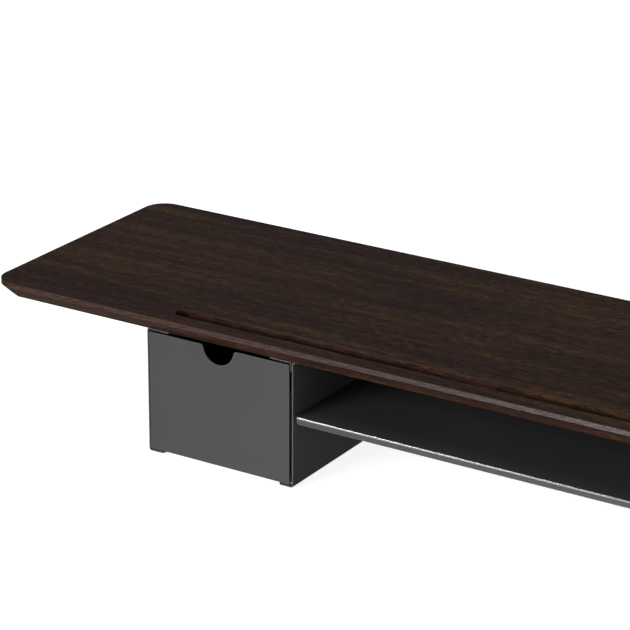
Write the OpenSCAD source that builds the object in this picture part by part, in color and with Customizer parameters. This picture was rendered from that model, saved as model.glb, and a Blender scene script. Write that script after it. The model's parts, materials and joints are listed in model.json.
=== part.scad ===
// Desk shelf: a wooden board with a device groove, carried by two sheet-metal
// drawer housings, with a sheet-metal shelf hung between them.
// X runs along the board, the front is towards -Y, and Z = 0 is the desk top.
// The origin is the middle of the footprint.

/* [Board] */
// Length of the wooden board
board_l = 1070; // [1000:5:1200]
// Depth of the board, front to back
board_d = 245; // [235:1:280]
// Thickness of the board
board_t = 16; // [15:0.5:20]
// Radius of the board's corners, seen from above
corner_r = 20; // [16:1:30]
// Height of the upright edge face above the undercut bevel
face_h = 4.5; // [3:0.5:7]
// How far the bevel runs in under the board
bevel_in = 12; // [6:0.5:14]

/* [Groove] */
// Width of the groove that holds a tablet or phone
groove_w = 14.2; // [10:0.1:20]
// Depth of the groove
groove_depth = 10; // [6:0.5:11]
// From the board's front face to the groove's front wall
groove_from_front = 14.9; // [12:0.1:30]
// From the board's end to the groove's end
groove_from_end = 175.2; // [120:0.1:220]
// Small chamfer along the groove's mouth
groove_chamfer = 0.3; // [0.2:0.1:1.2]

/* [Housings] */
// Height of the housings, without the pads under them
housing_h = 110; // [90:1:140]
// Outside width of each housing
housing_w = 142.6; // [120:0.1:170]
// From the board's end to the housing
housing_from_end = 152.2; // [60:0.1:200]
// How far the housings stand back from the board's front and back faces
housing_setback = 12.2; // [12.2:0.1:20]
// Thickness of the housing and drawer front sheet
sheet = 1.2; // [1:0.1:1.6]
// Inside radius of the bends
bend_r = 1; // [0.5:0.1:1.5]
// Width of the flanges under the board
top_flange_w = 21.5; // [20:0.5:26]
// Width of the flanges that the drawer runs on
bottom_flange_w = 14.6; // [14:0.1:18]
// Thickness of the anti-slip pads
pad_h = 1.5; // [1:0.1:3]

/* [Drawers] */
// From each side panel's inner face to the drawer front's side edge
front_gap = 1.8; // [1.5:0.1:3]
// From the underside of the board to the top of the drawer front
front_drop = 2.3; // [1.8:0.1:3]
// From the bottom of the housing up to the drawer front's bottom edge
front_rise = 3.2; // [2:0.1:4]
// Thickness of the tray's sheet
tray_sheet = 1.2; // [0.8:0.1:1.5]
// Height of the tray's walls
tray_wall_h = 80; // [50:1:95]
// Radius of the half-round finger notch
notch_r = 15.1; // [10:0.1:18]
// Radius of the notch's two rounded shoulders
notch_shoulder_r = 2.8; // [1.5:0.1:4]
// How far the drawer opens
travel = 150; // [80:5:150]

/* [Shelf] */
// From the top of the board down to the shelf's top
shelf_drop = 63.4; // [50:0.1:90]
// From the board's front face to the shelf's front lip
shelf_setback = 13.5; // [12.5:0.1:30]
// Height of the shelf's front and back lips
lip_h = 5.9; // [4.5:0.1:15]
// Thickness of the shelf's sheet
shelf_sheet = 1.5; // [1.2:0.1:2]

/* [Hidden] */
$fn = 64;
// Overlap that joins solids of one part
EPS = 0.01;
// How far a cutter reaches past the face it cuts
CUT = 1;
// Free play between moving parts
GAP = 0.3;

// Board
bevel_h = board_t - face_h;
board_z = pad_h + housing_h;
top_z = board_z + board_t;
front_y = -board_d / 2;

// Sheet metal
bend_out = bend_r + sheet;
housing_l = board_d - 2 * housing_setback;
housing_y = front_y + housing_setback;
flange_z = board_z - sheet;
angle_leg_h = 8.5;
angle_gap = 0.6;
top_corner_r = 1.5;
bottom_corner_r = 3.4;
outward_chamfer = 17;

// Fasteners
screw_r = 1.9;
screw_hole_r = 2.1;
head_r = 3.8;
head_h = 2.1;
wood_bite = 12;
screw_tip_l = 2;
screw_tip_r = 0.5;
top_screw_x = 15;
top_screw_ys = [-80.5, 0, 80.5];
outward_screw_x = 11;
m4_r = 1.8;
m4_proud = 0.8;
snug = 0.05;

// Back panel, a shallow pan whose rim points backwards
pan_depth = 12;
pan_y = housing_y + housing_l - pan_depth;
pan_gap = 0.2;
rivet_inset = 27;
rivet_zs = [pad_h + rivet_inset, board_z - rivet_inset];
rivet_r = 1.6;
rivet_head_r = 3.2;
rivet_head_top_r = 1.9;
rivet_head_h = 0.9;
rivet_tail_r = 2.2;

// Drawer
glide_t = 1.5;
glide_clear = 0.1;
glide_lip_h = 8;
glide_in = 13.5;
glide_margin = 4;
floor_z = pad_h + sheet + glide_t + GAP;
tray_side = sheet + angle_gap + sheet + GAP;
tray_w = housing_w - 2 * tray_side;
front_w = housing_w - 2 * (sheet + front_gap);
front_h = housing_h - front_drop - front_rise;
front_z = pad_h + front_rise;
front_clear = 0.4;
front_back_y = housing_y - front_clear;
bumper_h = 2.5;
bumper_r = 4;
bumper_chamfer = 0.8;
bumper_inset = 28;
bumper_zs = [22, 76];
tray_back_y = pan_y - bumper_h - GAP;
tray_l = tray_back_y - front_back_y;
tray_bend = 2;
wall_top_z = floor_z + tray_wall_h;
hem_h = 6;
post_w = 5.7;
post_gap = 0.8;
post_top_z = flange_z - post_gap;
stop_clear = 0.4;
stop_x = sheet + angle_gap + bend_out + stop_clear;
stop_y = tray_back_y - tray_sheet - travel - GAP;
stop_w = tray_side + post_w - stop_x;
stop_l = 10;
stop_h = 4.5;
stop_peg_r = 1.5;
stud_r = 1.45;
stud_l = 6;
stud_clear = 0.1;
stud_inset_x = 20;
stud_inset_z = 17;
stud_zs = [floor_z + stud_inset_z, wall_top_z - stud_inset_z];
nut_af = 5.5;
nut_h = 2.4;

// Pads
pad_r = 5;
pad_x = 9.3;
pad_inset = 16;

// Shelf
shelf_z = top_z - shelf_drop;
shelf_bend_r = 0.2;
shelf_bend_out = shelf_sheet + shelf_bend_r;
shelf_end_gap = 0.5;
shelf_half = board_l / 2 - housing_from_end - housing_w;
shelf_y = front_y + shelf_setback;
shelf_d = board_d - 2 * shelf_setback;
lip_relief = 2.7;
relief_slit_w = 0.9;
relief_slit_l = 3;
lip_corner_r = 2.4;
tab_l = 44;
tab_slit = 1;
tab_h = 15;
tab_ys = [-60.5, 60.5];
tab_screw_dy = 13;
tab_screw_drop = 8.8;
tab_screw_z = shelf_z - tab_screw_drop;

WOOD = [0.20, 0.14, 0.11];
SHEET = [0.23, 0.23, 0.23];
FRONT = [0.33, 0.33, 0.33];
STEEL = [0.55, 0.55, 0.56];
PLASTIC = [0.78, 0.78, 0.76];
RUBBER = [0.08, 0.08, 0.08];

// ---- helpers ----

// Places a housing's parts. They are drawn for the left housing, with x = 0 at
// its outer face and x = housing_w at the face towards the middle of the desk.
module in_left_housing() {
    translate([housing_from_end - board_l / 2, 0, 0]) children();
}

module in_right_housing() {
    mirror([1, 0, 0]) in_left_housing() children();
}

// Draws the children as they are and mirrored across the housing's middle.
module both_walls() {
    children();
    translate([housing_w, 0, 0]) mirror([1, 0, 0]) children();
}

// Stands an XZ profile up and runs it backwards from y for length l.
module run_back(y, l) {
    translate([0, y + l, 0]) rotate([90, 0, 0]) linear_extrude(l) children();
}

// Stands a YZ profile up and runs it towards +X from x for length l.
module run_right(x, l) {
    translate([x, 0, 0]) rotate([90, 0, 90]) linear_extrude(l) children();
}

// A quarter of a bend: its centre is at the origin, in the quadrant (sx, sy).
module bend(sx, sy, outer = bend_out, t = sheet) {
    low_x = sx > 0 ? 0 : -outer;
    low_y = sy > 0 ? 0 : -outer;
    intersection() {
        difference() {
            circle(r = outer);
            circle(r = outer - t);
        }
        translate([low_x, low_y]) square(outer);
    }
}

// Cuts a rounded corner of radius r off the corner at the origin. The sheet
// lies on the side of (sx, sy).
module corner_cut(r, sx, sy, z, h) {
    translate([0, 0, z]) linear_extrude(h) difference() {
        translate([sx > 0 ? -CUT : -r, sy > 0 ? -CUT : -r]) square(r + CUT);
        translate([sx * r, sy * r]) circle(r = r);
    }
}

// A pan head with a cross recess, its seat on z = 0 and its top towards -Z.
module cross_head(r, h) {
    top_r = 0.72 * r;
    rim_h = 0.5 * h;
    slot_w = 0.24 * r;
    slot_l = 1.15 * r;
    slot_h = 0.6 * h;
    difference() {
        union() {
            translate([0, 0, -rim_h]) cylinder(r = r, h = rim_h);
            translate([0, 0, -h]) cylinder(r1 = top_r, r2 = r, h = h - rim_h);
        }
        for (a = [0, 90])
            rotate([0, 0, a])
                translate([-slot_l / 2, -slot_w / 2, -h - CUT])
                    cube([slot_l, slot_w, CUT + slot_h]);
    }
}

// ---- board ----

// The outline of the board's edge, from the bottom up, for a board of width w.
module edge_profile(w) {
    polygon([
        [-w / 2 + bevel_in, 0],
        [w / 2 - bevel_in, 0],
        [w / 2, bevel_h],
        [w / 2, board_t],
        [-w / 2, board_t],
        [-w / 2, bevel_h],
    ]);
}

module board_blank() {
    straight_x = board_l - 2 * corner_r;
    straight_y = board_d - 2 * corner_r;
    run_right(-straight_x / 2, straight_x) edge_profile(board_d);
    run_back(-straight_y / 2, straight_y) edge_profile(board_l);
    for (sx = [-1, 1], sy = [-1, 1])
        translate([sx * straight_x / 2, sy * straight_y / 2, 0]) {
            cylinder(r1 = corner_r - bevel_in, r2 = corner_r, h = bevel_h);
            translate([0, 0, bevel_h]) cylinder(r = corner_r, h = face_h);
        }
}

module groove_cut() {
    r = groove_w / 2;
    half = board_l / 2 - groove_from_end - r;
    mouth = groove_chamfer;
    translate([0, front_y + groove_from_front + r, board_t]) {
        translate([-half, -r, -groove_depth]) cube([2 * half, groove_w, groove_depth + CUT]);
        run_right(-half, 2 * half) polygon([
            [-r, -mouth],
            [r, -mouth],
            [r + mouth + CUT, CUT],
            [-r - mouth - CUT, CUT],
        ]);
        for (sx = [-1, 1])
            translate([sx * half, 0, 0]) {
                translate([0, 0, -groove_depth]) cylinder(r = r, h = groove_depth + CUT);
                translate([0, 0, -mouth]) cylinder(r1 = r, r2 = r + mouth + CUT, h = mouth + CUT);
            }
    }
}

// Middles of the board screws of one housing, from its outer face.
function board_screw_xs() = [top_screw_x, housing_w - top_screw_x, housing_w + outward_screw_x];

module each_board_screw() {
    for (x = board_screw_xs(), y = top_screw_ys) translate([x, y, 0]) children();
}

module board() {
    color(WOOD) difference() {
        translate([0, 0, board_z]) difference() {
            board_blank();
            groove_cut();
        }
        in_left_housing() board_pilot_holes();
        in_right_housing() board_pilot_holes();
    }
}

module board_pilot_holes() {
    each_board_screw()
        translate([0, 0, board_z - CUT]) cylinder(r = screw_r, h = wood_bite + CUT);
}

module board_screws() {
    shank_h = sheet + wood_bite - screw_tip_l;
    color(STEEL) each_board_screw() translate([0, 0, flange_z]) {
        cross_head(head_r, head_h);
        cylinder(r = screw_r, h = shank_h);
        translate([0, 0, shank_h]) cylinder(r1 = screw_r, r2 = screw_tip_r, h = screw_tip_l);
    }
}

// ---- housing ----

// Section of a side panel with its outer face on x = 0: an upright web, a
// flange under the drawer, and a flange under the board that points in or out.
module side_profile(outward) {
    h = housing_h;
    translate([0, bend_out]) square([sheet, h - 2 * bend_out]);
    translate([bend_out, bend_out]) bend(-1, -1);
    translate([bend_out, 0]) square([bottom_flange_w - bend_out, sheet]);
    if (outward) {
        translate([-bend_r, h - bend_out]) bend(1, 1);
        translate([sheet - top_flange_w, h - sheet])
            square([top_flange_w - bend_out, sheet]);
    } else {
        translate([bend_out, h - bend_out]) bend(-1, 1);
        translate([bend_out, h - sheet]) square([top_flange_w - bend_out, sheet]);
    }
}

module flange_corners(x, sx, r, z) {
    h = sheet + 2 * CUT;
    translate([x, housing_y, 0]) corner_cut(r, sx, 1, z - CUT, h);
    translate([x, housing_y + housing_l, 0]) corner_cut(r, sx, -1, z - CUT, h);
}

// Chamfers both ends of the flange that points out from the housing.
module outward_flange_ends() {
    tip_x = -outward_chamfer - bend_r;
    past_x = -top_flange_w - CUT;
    h = sheet + 2 * CUT;
    for (end = [-1, 1])
        translate([0, end * housing_l / 2, flange_z - CUT]) linear_extrude(h) polygon([
            [-bend_r, end * CUT],
            [-bend_r, 0],
            [tip_x, -end * outward_chamfer],
            [past_x, -end * outward_chamfer],
            [past_x, end * CUT],
        ]);
}

module side_panel(outward) {
    difference() {
        translate([0, 0, pad_h]) run_back(housing_y, housing_l) side_profile(outward);
        flange_corners(bottom_flange_w, -1, bottom_corner_r, pad_h);
        if (outward)
            outward_flange_ends();
        else
            flange_corners(top_flange_w, -1, top_corner_r, flange_z);
        side_rivets(rivet_r + snug);
    }
}

// Shanks of the rivets that join a side panel's web to the back panel's rim.
module side_rivets(r) {
    for (z = rivet_zs)
        translate([-EPS, pan_y + pan_depth / 2 + sheet / 2, z])
            rotate([0, 90, 0]) cylinder(r = r, h = 2 * sheet + 2 * EPS);
}

module flange_holes(x) {
    for (y = top_screw_ys)
        translate([x, y, flange_z - CUT]) cylinder(r = screw_hole_r, h = sheet + 2 * CUT);
}

module stop_hole() {
    translate([stop_x + stop_w / 2, stop_y - stop_l / 2, flange_z - CUT])
        cylinder(r = stop_peg_r + snug, h = sheet + 2 * CUT);
}

module outer_side_panel() {
    color(SHEET) difference() {
        side_panel(false);
        flange_holes(top_screw_x);
        stop_hole();
    }
}

module inner_side_panel() {
    color(SHEET) translate([housing_w, 0, 0]) mirror([1, 0, 0]) difference() {
        side_panel(true);
        flange_holes(-outward_screw_x);
        for (y = tab_ys, dy = [-tab_screw_dy, tab_screw_dy])
            translate([-CUT, y + dy, tab_screw_z])
                rotate([0, 90, 0]) cylinder(r = m4_r + snug, h = sheet + 2 * CUT);
    }
}

// The angle inside the inner panel that keeps the drawer from tipping.
module keeper_angle() {
    edge_x = sheet + angle_gap;
    tip_x = edge_x + top_flange_w;
    color(SHEET) translate([housing_w, 0, 0]) mirror([1, 0, 0]) difference() {
        run_back(housing_y, housing_l) translate([edge_x, board_z]) {
            translate([0, -angle_leg_h]) square([sheet, angle_leg_h - bend_out]);
            translate([bend_out, -bend_out]) bend(-1, 1);
            translate([bend_out, -sheet]) square([top_flange_w - bend_out, sheet]);
        }
        flange_corners(tip_x, -1, top_corner_r, flange_z);
        flange_holes(top_screw_x);
        stop_hole();
    }
}

module back_panel() {
    w = housing_w - 2 * sheet;
    low = pad_h + sheet + pan_gap;
    high = flange_z - pan_gap;
    color(SHEET) difference() {
        translate([sheet, pan_y, low]) linear_extrude(high - low) {
            translate([bend_out, 0]) square([w - 2 * bend_out, sheet]);
            for (side = [0, 1]) translate([side * w, 0]) mirror([side, 0]) {
                translate([bend_out, bend_out]) bend(-1, -1);
                translate([0, bend_out]) square([sheet, pan_depth - bend_out]);
            }
        }
        both_walls() side_rivets(rivet_r + snug);
        both_walls() back_panel_clearance();
    }
}

// Corners cut out of the back panel where the panels' bends pass.
module back_panel_clearance() {
    low_w = CUT + bend_r + pan_gap;
    top_w = CUT + angle_gap + bend_out + pan_gap;
    l = pan_depth + 2 * CUT;
    translate([sheet - CUT, pan_y - CUT, pad_h + sheet]) cube([low_w, l, bend_r + pan_gap]);
    translate([sheet - CUT, pan_y - CUT, board_z - angle_leg_h - pan_gap])
        cube([top_w, l, angle_leg_h]);
}

module back_rivets() {
    color(STEEL) both_walls() {
        side_rivets(rivet_r);
        for (z = rivet_zs)
            translate([0, pan_y + pan_depth / 2 + sheet / 2, z]) rotate([0, 90, 0]) {
                translate([0, 0, -rivet_head_h])
                    cylinder(r1 = rivet_head_top_r, r2 = rivet_head_r, h = rivet_head_h);
                translate([0, 0, 2 * sheet]) cylinder(r = rivet_tail_r, h = rivet_head_h);
            }
    }
}

// Plastic strips on the bottom flanges, each with a low guide lip at the web.
module glide_strips() {
    z = pad_h + sheet;
    lip_x = sheet + glide_clear;
    color(PLASTIC) both_walls()
        run_back(housing_y + glide_margin, pan_y - housing_y - 2 * glide_margin) polygon([
            [lip_x + bend_r, z],
            [lip_x, z + bend_r],
            [lip_x, z + glide_lip_h],
            [lip_x + glide_t, z + glide_lip_h],
            [lip_x + glide_t, z + glide_t],
            [glide_in, z + glide_t],
            [glide_in, z],
        ]);
}

// Snap-in blocks under the top flanges that stop the tray's rear posts.
module drawer_stops() {
    color(PLASTIC) both_walls() translate([stop_x, stop_y - stop_l, 0]) {
        translate([0, 0, flange_z - stop_h]) cube([stop_w, stop_l, stop_h]);
        translate([stop_w / 2, stop_l / 2, flange_z]) cylinder(r = stop_peg_r, h = sheet);
    }
}

module rear_bumpers() {
    c = bumper_chamfer;
    color(RUBBER) both_walls() for (z = bumper_zs)
        translate([bumper_inset, pan_y, z]) rotate([90, 0, 0]) {
            cylinder(r = bumper_r, h = bumper_h - c);
            translate([0, 0, bumper_h - c]) cylinder(r1 = bumper_r, r2 = bumper_r - c, h = c);
        }
}

module anti_slip_pads() {
    color(RUBBER) both_walls() for (y = [pad_inset, housing_l - pad_inset])
        translate([pad_x, housing_y + y, 0]) cylinder(r = pad_r, h = pad_h);
}

// ---- drawer ----

// Section of the tray: floor, two walls, and the hems along their tops.
module tray_profile() {
    flat = tray_w - 2 * tray_bend;
    translate([tray_bend, 0]) square([flat, tray_sheet]);
    for (side = [0, 1]) translate([side * tray_w, 0]) mirror([side, 0]) {
        translate([tray_bend, tray_bend]) bend(-1, -1, tray_bend, tray_sheet);
        translate([0, tray_bend]) square([tray_sheet, tray_wall_h - tray_bend]);
        translate([tray_sheet - EPS, tray_wall_h - hem_h]) square([tray_sheet, hem_h]);
    }
}

module each_stud() {
    for (x = [stud_inset_x, housing_w - stud_inset_x], z = stud_zs)
        translate([x, front_back_y, z]) rotate([-90, 0, 0]) children();
}

module drawer_tray() {
    inner_x = tray_side + tray_sheet - EPS;
    inner_w = tray_w - 2 * tray_sheet + 2 * EPS;
    wall_z = floor_z + tray_sheet - EPS;
    wall_h = tray_wall_h - tray_sheet + EPS;
    color(SHEET) difference() {
        union() {
            translate([tray_side, 0, floor_z]) run_back(front_back_y, tray_l) tray_profile();
            for (y = [front_back_y, tray_back_y - tray_sheet])
                translate([inner_x, y, wall_z]) cube([inner_w, tray_sheet, wall_h]);
            both_walls() translate([tray_side, tray_back_y - tray_sheet, wall_top_z - EPS])
                cube([post_w, tray_sheet, post_top_z - wall_top_z + EPS]);
        }
        each_stud() translate([0, 0, -CUT])
            cylinder(r = stud_r + stud_clear, h = tray_sheet + 2 * CUT);
    }
}

// The finger notch: a half circle centred on the front's top edge. Each
// shoulder is a small arc that touches both the half circle and that edge.
module notch_2d(top) {
    s = notch_shoulder_r;
    shoulder_x = sqrt(pow(notch_r + s, 2) - s * s);
    touch = notch_r / (notch_r + s);
    translate([0, top]) {
        circle(r = notch_r);
        difference() {
            polygon([
                [-shoulder_x, CUT],
                [-shoulder_x, 0],
                [-touch * shoulder_x, -touch * s],
                [touch * shoulder_x, -touch * s],
                [shoulder_x, 0],
                [shoulder_x, CUT],
            ]);
            for (side = [-1, 1]) translate([side * shoulder_x, -s]) circle(r = s);
        }
    }
}

module drawer_front() {
    color(FRONT) {
        run_back(front_back_y - sheet, sheet) difference() {
            translate([sheet + front_gap, front_z]) square([front_w, front_h]);
            translate([housing_w / 2, 0]) notch_2d(front_z + front_h);
        }
        each_stud() cylinder(r = stud_r, h = stud_l);
    }
}

module drawer_front_nuts() {
    color(STEEL) each_stud() translate([0, 0, tray_sheet]) difference() {
        cylinder(r = nut_af / 2 / cos(30), h = nut_h, $fn = 6);
        translate([0, 0, -CUT]) cylinder(r = stud_r + snug, h = nut_h + 2 * CUT);
    }
}

// ---- shelf ----

// Section of the shelf from front to back: a plate that bends down at both ends.
module shelf_profile() {
    b = shelf_bend_out;
    translate([b, -shelf_sheet]) square([shelf_d - 2 * b, shelf_sheet]);
    for (side = [0, 1]) translate([side * shelf_d, 0]) mirror([side, 0])
        translate([b, -b]) bend(-1, 1, b, shelf_sheet);
}

module shelf_lip() {
    w = 2 * (shelf_half - lip_relief);
    flat_h = lip_h - shelf_bend_out;
    translate([-w / 2, 0, -lip_h]) difference() {
        cube([w, shelf_sheet, flat_h]);
        for (side = [0, 1]) translate([side * w, 0, 0]) mirror([side, 0, 0]) rotate([90, 0, 0])
            corner_cut(lip_corner_r, 1, 1, -shelf_sheet - CUT, shelf_sheet + 2 * CUT);
    }
}

// A tab bent down from the shelf's end, against the housing's side.
module shelf_tab() {
    b = shelf_bend_out;
    translate([0, -tab_l / 2, 0]) difference() {
        run_back(0, tab_l) {
            translate([b, -b]) bend(-1, 1, b, shelf_sheet);
            translate([0, -tab_h]) square([shelf_sheet, tab_h - b]);
        }
        for (dy = [-tab_screw_dy, tab_screw_dy])
            translate([-CUT, tab_l / 2 + dy, -tab_screw_drop])
                rotate([0, 90, 0]) cylinder(r = screw_hole_r, h = shelf_sheet + 2 * CUT);
    }
}

// Frees the end of the front lip from the housing: a cut beside the bend, and a
// slit behind it that keeps the sheet from tearing.
module lip_relief_cut() {
    b = shelf_bend_out;
    h = b + 2 * CUT;
    translate([-shelf_half, shelf_y, shelf_z - b - CUT]) {
        translate([-CUT, -CUT, 0]) cube([CUT + lip_relief, CUT + b, h]);
        translate([lip_relief - relief_slit_w, 0, 0]) cube([relief_slit_w, b + relief_slit_l, h]);
    }
}

module each_tab() {
    for (side = [0, 1], y = tab_ys)
        mirror([side, 0, 0]) translate([-shelf_half, y, shelf_z]) children();
}

module under_shelf() {
    w = 2 * (shelf_half - shelf_end_gap);
    b = shelf_bend_out;
    color(SHEET) {
        difference() {
            translate([0, shelf_y, shelf_z]) run_right(-w / 2, w) shelf_profile();
            for (side = [0, 1], end = [0, 1])
                mirror([side, 0, 0]) mirror([0, end, 0]) lip_relief_cut();
            each_tab() translate([-CUT, -tab_l / 2 - tab_slit, -shelf_sheet - CUT])
                cube([CUT + b, tab_l + 2 * tab_slit, shelf_sheet + 2 * CUT]);
        }
        translate([0, shelf_y, shelf_z]) shelf_lip();
        translate([0, shelf_y + shelf_d - shelf_sheet, shelf_z]) shelf_lip();
        each_tab() shelf_tab();
    }
}

module shelf_screws() {
    color(STEEL) each_tab() for (dy = [-tab_screw_dy, tab_screw_dy])
        translate([shelf_sheet, dy, -tab_screw_drop]) rotate([0, -90, 0]) {
            cross_head(head_r, head_h);
            cylinder(r = m4_r, h = shelf_sheet + sheet + m4_proud);
        }
}

// ---- nodes ----

board();
under_shelf();
shelf_screws();
in_left_housing() outer_side_panel();  // left_outer_side_panel
in_left_housing() inner_side_panel();  // left_inner_side_panel
in_left_housing() keeper_angle();  // left_keeper_angle
in_left_housing() back_panel();  // left_back_panel
in_left_housing() back_rivets();  // left_back_rivets
in_left_housing() board_screws();  // left_board_screws
in_left_housing() glide_strips();  // left_glide_strips
in_left_housing() drawer_stops();  // left_drawer_stops
in_left_housing() rear_bumpers();  // left_rear_bumpers
in_left_housing() anti_slip_pads();  // left_anti_slip_pads
in_left_housing() drawer_tray();  // left_drawer_tray
in_left_housing() drawer_front();  // left_drawer_front
in_left_housing() drawer_front_nuts();  // left_drawer_front_nuts
in_right_housing() outer_side_panel();  // right_outer_side_panel
in_right_housing() inner_side_panel();  // right_inner_side_panel
in_right_housing() keeper_angle();  // right_keeper_angle
in_right_housing() back_panel();  // right_back_panel
in_right_housing() back_rivets();  // right_back_rivets
in_right_housing() board_screws();  // right_board_screws
in_right_housing() glide_strips();  // right_glide_strips
in_right_housing() drawer_stops();  // right_drawer_stops
in_right_housing() rear_bumpers();  // right_rear_bumpers
in_right_housing() anti_slip_pads();  // right_anti_slip_pads
in_right_housing() drawer_tray();  // right_drawer_tray
in_right_housing() drawer_front();  // right_drawer_front
in_right_housing() drawer_front_nuts();  // right_drawer_front_nuts
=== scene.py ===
"""Desk shelf: materials, small edge rounding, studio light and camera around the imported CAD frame."""
import json
import math

import bpy
from mathutils import Matrix, Vector


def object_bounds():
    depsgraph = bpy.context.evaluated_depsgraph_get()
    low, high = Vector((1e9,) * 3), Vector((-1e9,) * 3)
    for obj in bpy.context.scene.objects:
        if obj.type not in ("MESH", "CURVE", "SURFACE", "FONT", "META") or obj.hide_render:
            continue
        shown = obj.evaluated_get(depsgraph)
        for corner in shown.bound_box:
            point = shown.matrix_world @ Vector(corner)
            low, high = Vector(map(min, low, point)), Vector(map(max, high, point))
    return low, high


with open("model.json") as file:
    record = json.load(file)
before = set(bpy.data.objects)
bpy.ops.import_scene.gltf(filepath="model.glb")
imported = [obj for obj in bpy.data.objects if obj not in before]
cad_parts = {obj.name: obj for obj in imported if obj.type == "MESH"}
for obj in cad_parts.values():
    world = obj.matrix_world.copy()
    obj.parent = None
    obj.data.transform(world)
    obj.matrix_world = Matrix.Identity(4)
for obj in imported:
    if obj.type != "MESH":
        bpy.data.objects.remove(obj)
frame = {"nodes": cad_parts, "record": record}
cad_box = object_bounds()
nodes = frame["nodes"]

MM = 0.001

# A Mix node's sockets for colours
MIX_A, MIX_B, MIX_RESULT = 6, 7, 2
# Rays of each recess-shade and edge lookup
LOOKUP_SAMPLES = 8
# Share of clear rays at which the edge mask begins, for the painted edge highlight and the edges' finish
EDGE_MASK_BEGINS = 0.92


# ---- shader helpers ----

class Shader:
    """A node material with one Principled BSDF, and short calls that add nodes to it."""

    def __init__(self, name):
        self.material = bpy.data.materials.new(name)
        self.material.use_nodes = True
        self.tree = self.material.node_tree
        self.bsdf = self.tree.nodes["Principled BSDF"]

    def add(self, kind, **values):
        node = self.tree.nodes.new(kind)
        for key, value in values.items():
            setattr(node, key, value)
        return node

    def link(self, output, target):
        self.tree.links.new(output, target)

    def object_mm(self, scale=(1, 1, 1), offset=(0, 0, 0)):
        """Object coordinates, scaled so that a texture scale of 1 means one feature per millimetre."""
        coords = self.add("ShaderNodeTexCoord")
        mapping = self.add("ShaderNodeMapping")
        mapping.inputs["Scale"].default_value = [s / MM for s in scale]
        mapping.inputs["Location"].default_value = offset
        self.link(coords.outputs["Object"], mapping.inputs["Vector"])
        return mapping.outputs["Vector"]

    def noise(self, vector, scale=1.0, detail=2.0, roughness=0.5, distortion=0.0):
        node = self.add("ShaderNodeTexNoise")
        node.inputs["Scale"].default_value = scale
        node.inputs["Detail"].default_value = detail
        node.inputs["Roughness"].default_value = roughness
        node.inputs["Distortion"].default_value = distortion
        self.link(vector, node.inputs["Vector"])
        return node.outputs["Fac"]

    def ramp(self, factor, stops):
        """A colour ramp; stops are (position, grey or linear rgb)."""
        node = self.add("ShaderNodeValToRGB")
        elements = node.color_ramp.elements
        while len(elements) < len(stops):
            elements.new(0.5)
        for element, (position, value) in zip(elements, stops):
            rgb = (value,) * 3 if isinstance(value, (int, float)) else value
            element.position = position
            element.color = (*rgb, 1.0)
        self.link(factor, node.inputs["Fac"])
        return node.outputs["Color"]

    def mix(self, factor, a, b, blend="MIX"):
        node = self.add("ShaderNodeMix", data_type="RGBA", blend_type=blend)
        for value, socket in ((factor, node.inputs["Factor"]),
                              (a, node.inputs[MIX_A]),
                              (b, node.inputs[MIX_B])):
            if isinstance(value, bpy.types.NodeSocket):
                self.link(value, socket)
            elif isinstance(value, (int, float)):
                socket.default_value = value
            else:
                socket.default_value = (*value, 1.0)
        return node.outputs[MIX_RESULT]

    def bump(self, height, distance_mm, strength=1.0, normal=None):
        node = self.add("ShaderNodeBump")
        node.inputs["Strength"].default_value = strength
        node.inputs["Distance"].default_value = distance_mm * MM
        self.link(height, node.inputs["Height"])
        if normal is not None:
            self.link(normal, node.inputs["Normal"])
        return node.outputs["Normal"]

    def painted_recess_shade(self, distance_mm, darkest):
        """1 on open faces, down to darkest deep in narrow grooves: painted shade in recesses."""
        node = self.add("ShaderNodeAmbientOcclusion", samples=LOOKUP_SAMPLES, only_local=True)
        node.inputs["Distance"].default_value = distance_mm * MM
        return self.ramp(node.outputs["AO"], [(0.4, darkest), (0.85, 1.0)])

    def edge(self, distance_mm, full=0.65):
        """0 on flat faces, up to 1 on outer edges, found by looking through the solid from inside.

        The mask is full where the share of clear rays falls to full.
        """
        node = self.add("ShaderNodeAmbientOcclusion", samples=LOOKUP_SAMPLES, only_local=True, inside=True)
        node.inputs["Distance"].default_value = distance_mm * MM
        return self.ramp(node.outputs["AO"], [(full, 1.0), (EDGE_MASK_BEGINS, 0.0)])

    def arris(self):
        """1 where an upper surface turns from level to upright, as on a bend or a rounded top edge.

        The ramp's positions are the normal's Z: 0 on an upright face, 1 on a level one.
        """
        coords = self.add("ShaderNodeTexCoord")
        normal = self.add("ShaderNodeSeparateXYZ")
        self.link(coords.outputs["Normal"], normal.inputs["Vector"])
        return self.ramp(normal.outputs["Z"], [(0.15, 0.0), (0.35, 1.0), (0.90, 1.0), (0.97, 0.0)])

    def finish(self, color, roughness, normal=None, **constants):
        self.link(color, self.bsdf.inputs["Base Color"])
        self.link(roughness, self.bsdf.inputs["Roughness"])
        if normal is not None:
            self.link(normal, self.bsdf.inputs["Normal"])
        for name, value in constants.items():
            self.bsdf.inputs[name.replace("_", " ")].default_value = value
        return self.material


# ---- materials ----

# Along the board's edges and bends the colour is painted paler, a painted highlight, and the lacquer is
# made rough and dull
WOOD_EDGE_HIGHLIGHT = (0.038, 0.0195, 0.0116)
WOOD_EDGE_ROUGHNESS = 0.95
WOOD_EDGE_GLOSS = 0.08
LACQUER_GLOSS = 0.35


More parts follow.
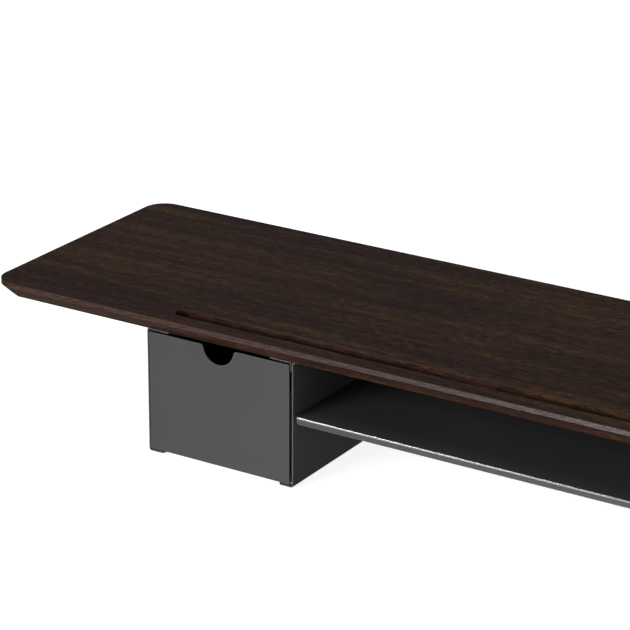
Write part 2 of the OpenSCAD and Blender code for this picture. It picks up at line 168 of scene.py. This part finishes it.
def dark_wood():
    """Espresso-stained veneer under satin lacquer: soft bands of figure along X, fibres and open pores."""
    s = Shader("dark_wood")
    figure = s.noise(s.object_mm((1 / 260, 1 / 22, 1 / 22)), 1.0, 3.0, 0.55, 0.6)
    bands = s.noise(s.object_mm((1 / 230, 1 / 11, 1 / 11), (3.1, 0.7, 0.2)), 1.0, 3.0, 0.55, 0.6)
    flecks = s.noise(s.object_mm((1 / 8, 1 / 1.4, 1 / 1.4), (7.7, 1.3, 4.2)), 1.0, 2.0, 0.6)
    fibres = s.noise(s.object_mm((1 / 30, 1 / 0.8, 1 / 0.8)), 1.0, 3.0, 0.6)
    pores = s.noise(s.object_mm((1 / 5.0, 1 / 0.42, 1 / 0.42), (0.3, 5.2, 1.7)), 1.0, 1.0, 0.5)
    color = s.ramp(figure, [(0.36, (0.0245, 0.0098, 0.0085)), (0.5, (0.0315, 0.0140, 0.0082)),
                            (0.64, (0.0430, 0.0212, 0.0085))])
    pore_tone = s.ramp(pores, [(0.30, 0.55), (0.42, 1.0)])
    # The last tone is painted shade, darkening the groove and other recesses
    for tone in (s.ramp(bands, [(0.32, 0.68), (0.5, 0.96), (0.68, 1.42)]),
                 s.ramp(flecks, [(0.32, 0.36), (0.5, 0.94), (0.68, 1.84)]),
                 s.ramp(fibres, [(0.3, 0.68), (0.7, 1.32)]),
                 pore_tone,
                 s.painted_recess_shade(14, 0.34)):
        color = s.mix(1.0, color, tone, "MULTIPLY")
    # Edges and sloped arrises are painted paler, a painted highlight, and made rough and less glossy
    edge_highlight_mask = s.mix(1.0, s.edge(0.9, full=0.82), s.arris(), "LIGHTEN")
    color = s.mix(edge_highlight_mask, color, WOOD_EDGE_HIGHLIGHT)
    roughness = s.mix(edge_highlight_mask, s.ramp(flecks, [(0.3, 0.32), (0.7, 0.27)]), (WOOD_EDGE_ROUGHNESS,) * 3)
    relief = s.bump(fibres, 0.02, 0.35)
    relief = s.bump(pore_tone, 0.03, 0.5, relief)
    gloss = s.mix(edge_highlight_mask, (LACQUER_GLOSS,) * 3, (WOOD_EDGE_GLOSS,) * 3)
    s.link(gloss, s.bsdf.inputs["Specular IOR Level"])
    return s.finish(color, roughness, relief)


# Along the sheet's edges and bends the powder coat is painted paler, a painted highlight, and made
# smoother
EDGE_HIGHLIGHT_TONE = 0.055
EDGE_ROUGHNESS = 0.20


def powder_coat(name, low, high, roughness_range=(0.38, 0.44)):
    """Fine-textured powder coat on steel sheet, painted paler and made smoother along the edges and bends:
    a painted highlight.
    """
    s = Shader(name)
    peel = s.noise(s.object_mm((1 / 0.9,) * 3), 1.0, 2.0, 0.5)
    grit = s.noise(s.object_mm((1 / 0.28,) * 3, (2.0, 0.4, 1.3)), 1.0, 1.0, 0.5)
    cloud = s.noise(s.object_mm((1 / 55,) * 3), 1.0, 2.0, 0.5)
    color = s.ramp(cloud, [(0.3, low), (0.7, high)])
    color = s.mix(1.0, color, s.ramp(grit, [(0.3, 0.9), (0.7, 1.1)]), "MULTIPLY")
    # Edges and bends are painted paler, a painted highlight, and made smoother
    edge_highlight_mask = s.mix(1.0, s.edge(0.8), s.arris(), "LIGHTEN")
    color = s.mix(edge_highlight_mask, color, (EDGE_HIGHLIGHT_TONE,) * 3)
    roughness = s.ramp(peel, [(0.3, roughness_range[0]), (0.7, roughness_range[1])])
    roughness = s.mix(edge_highlight_mask, roughness, (EDGE_ROUGHNESS,) * 3)
    relief = s.bump(peel, 0.012, 0.5)
    relief = s.bump(grit, 0.006, 0.5, relief)
    return s.finish(color, roughness, relief)


def bright_zinc():
    """Zinc-plated screws and nuts, slightly cloudy."""
    s = Shader("zinc_steel")
    cloud = s.noise(s.object_mm((1 / 1.8,) * 3), 1.0, 3.0, 0.6)
    scratches = s.noise(s.object_mm((1 / 0.12, 1 / 2.5, 1 / 0.12)), 1.0, 2.0, 0.6)
    color = s.ramp(cloud, [(0.3, (0.42, 0.42, 0.43)), (0.7, (0.58, 0.58, 0.60))])
    roughness = s.ramp(cloud, [(0.3, 0.38), (0.7, 0.26)])
    return s.finish(color, roughness, s.bump(scratches, 0.004, 0.5), Metallic=1.0)


def black_steel():
    """Blackened screws and rivets."""
    s = Shader("black_steel")
    cloud = s.noise(s.object_mm((1 / 1.2,) * 3), 1.0, 3.0, 0.6)
    color = s.ramp(cloud, [(0.3, (0.022, 0.022, 0.023)), (0.7, (0.036, 0.036, 0.037))])
    roughness = s.ramp(cloud, [(0.3, 0.42), (0.7, 0.30)])
    return s.finish(color, roughness, s.bump(cloud, 0.01, 0.4), Metallic=0.6)


def nylon():
    """Natural nylon glides and stops."""
    s = Shader("nylon")
    cloud = s.noise(s.object_mm((1 / 6,) * 3), 1.0, 3.0, 0.55)
    drag = s.noise(s.object_mm((1 / 0.35, 1 / 14, 1 / 0.35)), 1.0, 2.0, 0.6)
    color = s.ramp(cloud, [(0.3, (0.56, 0.55, 0.50)), (0.7, (0.66, 0.65, 0.61))])
    roughness = s.ramp(drag, [(0.35, 0.52), (0.65, 0.38)])
    return s.finish(color, roughness, s.bump(drag, 0.01, 0.4), Subsurface_Weight=0.15, Subsurface_Scale=MM)


def rubber():
    """Matte black rubber pads and bumpers."""
    s = Shader("rubber")
    grit = s.noise(s.object_mm((1 / 0.35,) * 3), 1.0, 2.0, 0.6)
    cloud = s.noise(s.object_mm((1 / 7,) * 3), 1.0, 2.0, 0.5)
    color = s.ramp(cloud, [(0.3, (0.012, 0.012, 0.012)), (0.7, (0.022, 0.022, 0.021))])
    roughness = s.ramp(grit, [(0.3, 0.78), (0.7, 0.9)])
    return s.finish(color, roughness, s.bump(grit, 0.02, 0.6))


SLOT_MATERIALS = {
    "dark_wood": dark_wood(),
    "housing_powder_coat": powder_coat("housing_powder_coat", (0.0255,) * 3, (0.0280,) * 3),
    # The drawer coat is the housing coat made about a tenth darker: painted shade on the drawer fronts
    "drawer_powder_coat": powder_coat("drawer_powder_coat", (0.0232,) * 3, (0.0252,) * 3),
    "black_steel": black_steel(),
    "zinc_steel": bright_zinc(),
    "nylon": nylon(),
    "rubber": rubber(),
}

# Size of the small rounding on each material's edges, in millimetres
EDGE_ROUND = {
    "dark_wood": 0.3,
    "housing_powder_coat": 0.2,
    "drawer_powder_coat": 0.25,
    "nylon": 0.15,
}
ROUND_SEGMENTS = 2
# Edges flatter than this, in degrees, belong to curved faces and aren't rounded
ROUND_FROM_ANGLE = 32


def dress(node, slot):
    """Gives a CAD node its material and rounds its sharp edges a little."""
    piece = nodes[node]
    piece.data.materials.clear()
    piece.data.materials.append(SLOT_MATERIALS[slot])
    if slot in EDGE_ROUND:
        bevel = piece.modifiers.new("edge_round", "BEVEL")
        bevel.width = EDGE_ROUND[slot] * MM
        bevel.segments = ROUND_SEGMENTS
        bevel.limit_method = "ANGLE"
        bevel.angle_limit = math.radians(ROUND_FROM_ANGLE)
        bevel.harden_normals = True


for part in frame["record"]["subparts"]:
    dress(part["node"], part["material_slot"])


# ---- studio ----

WORLD_COLOR = (0.97, 0.98, 1.0, 1.0)
WORLD_STRENGTH = 0.075
# The floor glows like a light table, so it stays pale under the object
FLOOR_GLOW = 0.88
FLOOR_SIZE = 24.0
FLOOR_STEPS = 4
# Where the sun lamps hang, which only matters in the viewport
LAMP_DISTANCE = 4.0

# The camera's angles in degrees, its place in metres, and its lens and sensor in millimetres
CAMERA_AZIMUTH, CAMERA_ELEVATION, CAMERA_ROLL = 32.08, 21.09, 0.241
CAMERA_PLACE = (0.8571, -1.8284, 0.9385)
LENS_LENGTH = 157.6
SENSOR_WIDTH = 36.0
# How far the camera sees, in metres
CLIP_END = 50.0


def grid_mesh(name, width, steps):
    """A flat square of steps by steps faces, centred on the origin."""
    mesh = bpy.data.meshes.new(name)
    points = [((i / steps - 0.5) * width, (j / steps - 0.5) * width, 0.0)
              for j in range(steps + 1) for i in range(steps + 1)]
    row = steps + 1
    faces = [(j * row + i, j * row + i + 1, (j + 1) * row + i + 1, (j + 1) * row + i)
             for j in range(steps) for i in range(steps)]
    mesh.from_pydata(points, [], faces)
    return mesh


def pale_floor():
    """A wide, pale, glowing floor at the height of the pads' undersides."""
    s = Shader("pale_floor")
    cloud = s.noise(s.object_mm((1 / 900,) * 3), 1.0, 2.0, 0.5)
    color = s.ramp(cloud, [(0.3, 0.38), (0.7, 0.42)])
    roughness = s.ramp(cloud, [(0.3, 0.9), (0.7, 0.95)])
    s.link(s.ramp(cloud, [(0.3, 0.98), (0.7, 1.0)]), s.bsdf.inputs["Emission Color"])
    floor = bpy.data.objects.new("floor", grid_mesh("floor", FLOOR_SIZE, FLOOR_STEPS))
    floor.data.materials.append(s.finish(color, roughness, Emission_Strength=FLOOR_GLOW))
    floor.location.z = cad_box[0][2]
    # The glow isn't mirrored in the lacquer, and the low light shines up through the floor
    floor.visible_glossy = False
    floor.visible_shadow = False
    bpy.context.scene.collection.objects.link(floor)


def soft_sun(name, direction, spread, strength, lights_faces=True, makes_highlights=True):
    """A distant soft light shining from direction; spread is its angular size in degrees."""
    light = bpy.data.lights.new(name, "SUN")
    light.angle = math.radians(spread)
    light.energy = strength
    lamp = bpy.data.objects.new(name, light)
    lamp.location = Vector(direction).normalized() * LAMP_DISTANCE
    lamp.rotation_euler = Vector(direction).to_track_quat("Z", "Y").to_euler()
    lamp.visible_diffuse = lights_faces
    lamp.visible_glossy = makes_highlights
    bpy.context.scene.collection.objects.link(lamp)


def studio_light():
    """A dim room, a large key light at the front left, and weaker lights around the object."""
    world = bpy.data.worlds.new("studio")
    world.use_nodes = True
    background = world.node_tree.nodes["Background"]
    background.inputs["Color"].default_value = WORLD_COLOR
    background.inputs["Strength"].default_value = WORLD_STRENGTH
    bpy.context.scene.world = world
    soft_sun("key", (-1.8, -4.9, 1.85), 30, 3.6)
    soft_sun("low", (-0.34, -0.845, -0.41), 4, 0.38)
    soft_sun("top", (-1.6, -1.3, 2.6), 16, 0.46)
    soft_sun("glint", (-1.6, -1.1, 2.6), 8, 2.7, lights_faces=False)
    soft_sun("right", (3.0, -1.3, 1.0), 30, 0.85)
    soft_sun("back", (2.2, 2.4, 0.9), 40, 0.6, makes_highlights=False)


def photo_camera():
    """A long lens above and to the right of the front, rolled by a quarter of a degree."""
    angles = (CAMERA_AZIMUTH, CAMERA_ELEVATION, CAMERA_ROLL)
    azimuth, elevation, roll = (math.radians(angle) for angle in angles)
    back = Vector((math.sin(azimuth) * math.cos(elevation), -math.cos(azimuth) * math.cos(elevation),
                   math.sin(elevation)))
    right = Vector((math.cos(azimuth), math.sin(azimuth), 0.0))
    up = back.cross(right)
    tilted_right = right * math.cos(roll) + up * math.sin(roll)
    tilted_up = up * math.cos(roll) - right * math.sin(roll)
    lens = bpy.data.cameras.new("camera")
    lens.sensor_width = SENSOR_WIDTH
    lens.lens = LENS_LENGTH
    lens.clip_end = CLIP_END
    camera = bpy.data.objects.new("camera", lens)
    axes = Matrix((tilted_right, tilted_up, back)).transposed()
    camera.matrix_world = Matrix.Translation(CAMERA_PLACE) @ axes.to_4x4()
    bpy.context.scene.collection.objects.link(camera)
    bpy.context.scene.camera = camera


pale_floor()
studio_light()
photo_camera()
bpy.context.scene.view_settings.view_transform = "Standard"
